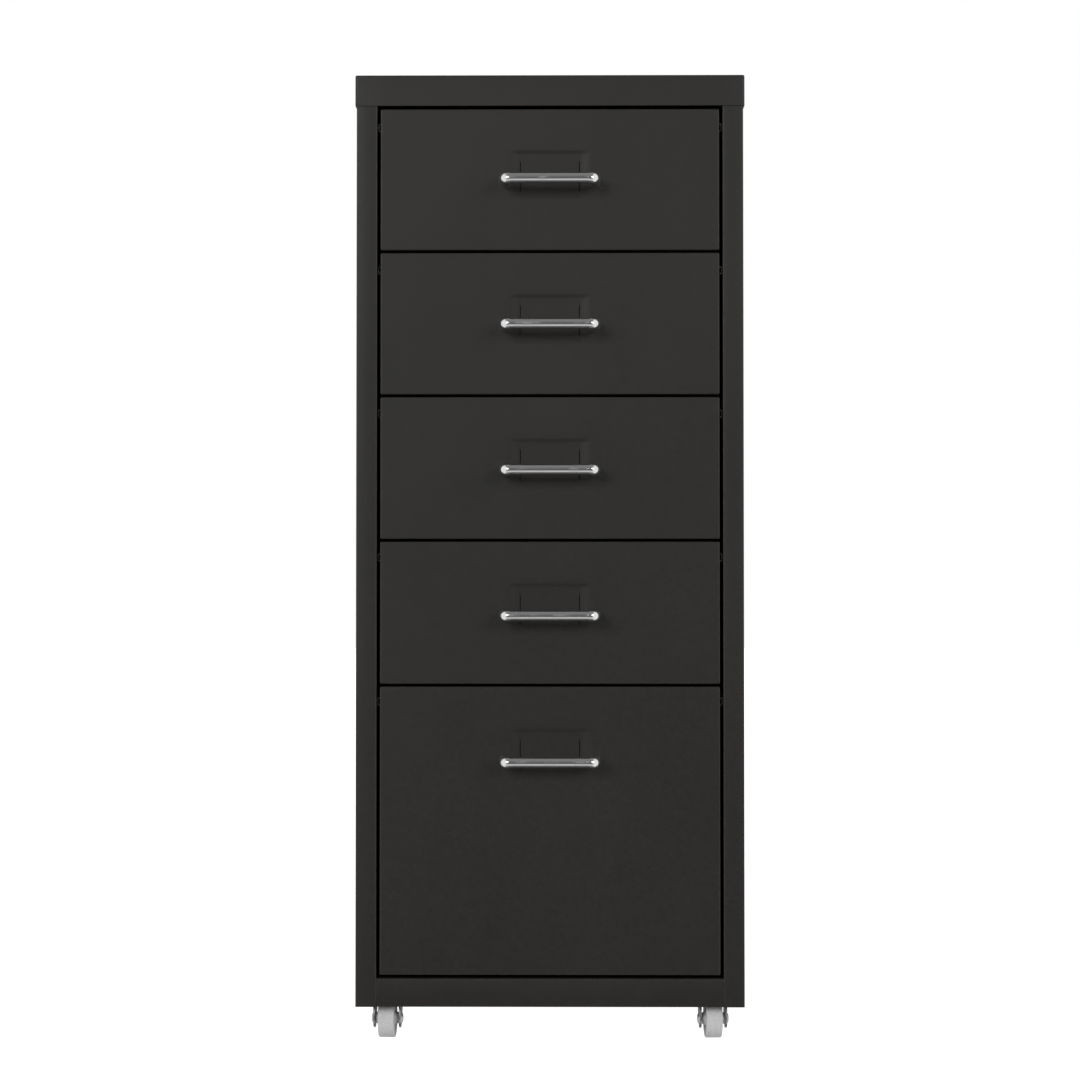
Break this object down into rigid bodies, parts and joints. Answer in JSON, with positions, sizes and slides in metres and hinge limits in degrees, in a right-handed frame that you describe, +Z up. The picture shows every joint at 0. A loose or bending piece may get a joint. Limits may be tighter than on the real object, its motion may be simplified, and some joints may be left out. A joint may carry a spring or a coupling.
{
  "type": "chest of drawers",
  "caption": "Narrow upright steel chest on casters, with shallow drawers over a deep one, bow handles and pressed label recesses.",
  "frame": {"origin": "on the floor, in the middle of the object's overall box, handles included", "axes": "+Z up, -Y out of the drawers, +X to the right as one faces the drawers"},
  "size_m": [0.28, 0.4299, 0.6922],
  "materials": {
    "powder_coat": "charcoal grey powder coat, fine texture, satin",
    "chrome": "bright plated wire",
    "zinc": "bright zinc plating",
    "wheel_plastic": "light grey moulded plastic"
  },
  "bodies": {
    "case": {"back_panel": "powder_coat", "base_panel": "powder_coat", "caster_front_left_nut": "zinc", "caster_front_left_stem": "zinc", "caster_front_right_nut": "zinc", "caster_front_right_stem": "zinc", "caster_rear_left_nut": "zinc", "caster_rear_left_stem": "zinc", "caster_rear_right_nut": "zinc", "caster_rear_right_stem": "zinc", "runner_left_1": "zinc", "runner_left_2": "zinc", "runner_left_3": "zinc", "runner_left_4": "zinc", "runner_left_5": "zinc", "runner_right_1": "zinc", "runner_right_2": "zinc", "runner_right_3": "zinc", "runner_right_4": "zinc", "runner_right_5": "zinc", "side_left": "powder_coat", "side_right": "powder_coat", "top_cap": "powder_coat"},
    "drawer_1": {"drawer_1_front": "powder_coat", "drawer_1_handle": "chrome", "drawer_1_screw_left": "zinc", "drawer_1_screw_right": "zinc", "drawer_1_tray": "powder_coat"},
    "drawer_2": {"drawer_2_front": "powder_coat", "drawer_2_handle": "chrome", "drawer_2_screw_left": "zinc", "drawer_2_screw_right": "zinc", "drawer_2_tray": "powder_coat"},
    "drawer_3": {"drawer_3_front": "powder_coat", "drawer_3_handle": "chrome", "drawer_3_screw_left": "zinc", "drawer_3_screw_right": "zinc", "drawer_3_tray": "powder_coat"},
    "drawer_4": {"drawer_4_front": "powder_coat", "drawer_4_handle": "chrome", "drawer_4_screw_left": "zinc", "drawer_4_screw_right": "zinc", "drawer_4_tray": "powder_coat"},
    "drawer_5": {"drawer_5_front": "powder_coat", "drawer_5_handle": "chrome", "drawer_5_screw_left": "zinc", "drawer_5_screw_right": "zinc", "drawer_5_tray": "powder_coat"},
    "caster_front_left_swivelling": {"caster_front_left_fork": "zinc", "caster_front_left_axle": "zinc"},
    "caster_front_left_rolling": {"caster_front_left_wheel": "wheel_plastic"},
    "caster_front_right_swivelling": {"caster_front_right_fork": "zinc", "caster_front_right_axle": "zinc"},
    "caster_front_right_rolling": {"caster_front_right_wheel": "wheel_plastic"},
    "caster_rear_left_swivelling": {"caster_rear_left_fork": "zinc", "caster_rear_left_axle": "zinc"},
    "caster_rear_left_rolling": {"caster_rear_left_wheel": "wheel_plastic"},
    "caster_rear_right_swivelling": {"caster_rear_right_fork": "zinc", "caster_rear_right_axle": "zinc"},
    "caster_rear_right_rolling": {"caster_rear_right_wheel": "wheel_plastic"}
  },
  "joints": [
    {"name": "drawer_1_slide", "type": "slide", "parent": "case", "child": "drawer_1", "axis": [0, -1, 0], "range_m": [0, 0.2859]},
    {"name": "drawer_2_slide", "type": "slide", "parent": "case", "child": "drawer_2", "axis": [0, -1, 0], "range_m": [0, 0.2859]},
    {"name": "drawer_3_slide", "type": "slide", "parent": "case", "child": "drawer_3", "axis": [0, -1, 0], "range_m": [0, 0.2859]},
    {"name": "drawer_4_slide", "type": "slide", "parent": "case", "child": "drawer_4", "axis": [0, -1, 0], "range_m": [0, 0.2859]},
    {"name": "drawer_5_slide", "type": "slide", "parent": "case", "child": "drawer_5", "axis": [0, -1, 0], "range_m": [0, 0.2859]},
    {"name": "caster_front_left_swivel", "type": "hinge", "parent": "case", "child": "caster_front_left_swivelling", "pos_m": [-0.11673, -0.15543, 0.03], "axis": [0, 0, 1], "continuous": true},
    {"name": "caster_front_left_roll", "type": "hinge", "parent": "caster_front_left_swivelling", "child": "caster_front_left_rolling", "pos_m": [-0.11712, -0.16442, 0.01388], "axis": [0.999, -0.0436, 0], "continuous": true},
    {"name": "caster_front_right_swivel", "type": "hinge", "parent": "case", "child": "caster_front_right_swivelling", "pos_m": [0.11673, -0.15543, 0.03], "axis": [0, 0, 1], "continuous": true},
    {"name": "caster_front_right_roll", "type": "hinge", "parent": "caster_front_right_swivelling", "child": "caster_front_right_rolling", "pos_m": [0.1172, -0.16442, 0.01388], "axis": [0.9986, 0.0523, 0], "continuous": true},
    {"name": "caster_rear_left_swivel", "type": "hinge", "parent": "case", "child": "caster_rear_left_swivelling", "pos_m": [-0.11673, 0.18273, 0.03], "axis": [0, 0, 1], "continuous": true},
    {"name": "caster_rear_left_roll", "type": "hinge", "parent": "caster_rear_left_swivelling", "child": "caster_rear_left_rolling", "pos_m": [-0.1144, 0.17404, 0.01388], "axis": [0.9659, 0.2588, 0], "continuous": true},
    {"name": "caster_rear_right_swivel", "type": "hinge", "parent": "case", "child": "caster_rear_right_swivelling", "pos_m": [0.11673, 0.18273, 0.03], "axis": [0, 0, 1], "continuous": true},
    {"name": "caster_rear_right_roll", "type": "hinge", "parent": "caster_rear_right_swivelling", "child": "caster_rear_right_rolling", "pos_m": [0.11365, 0.17427, 0.01388], "axis": [0.9397, -0.342, 0], "continuous": true}
  ]
}
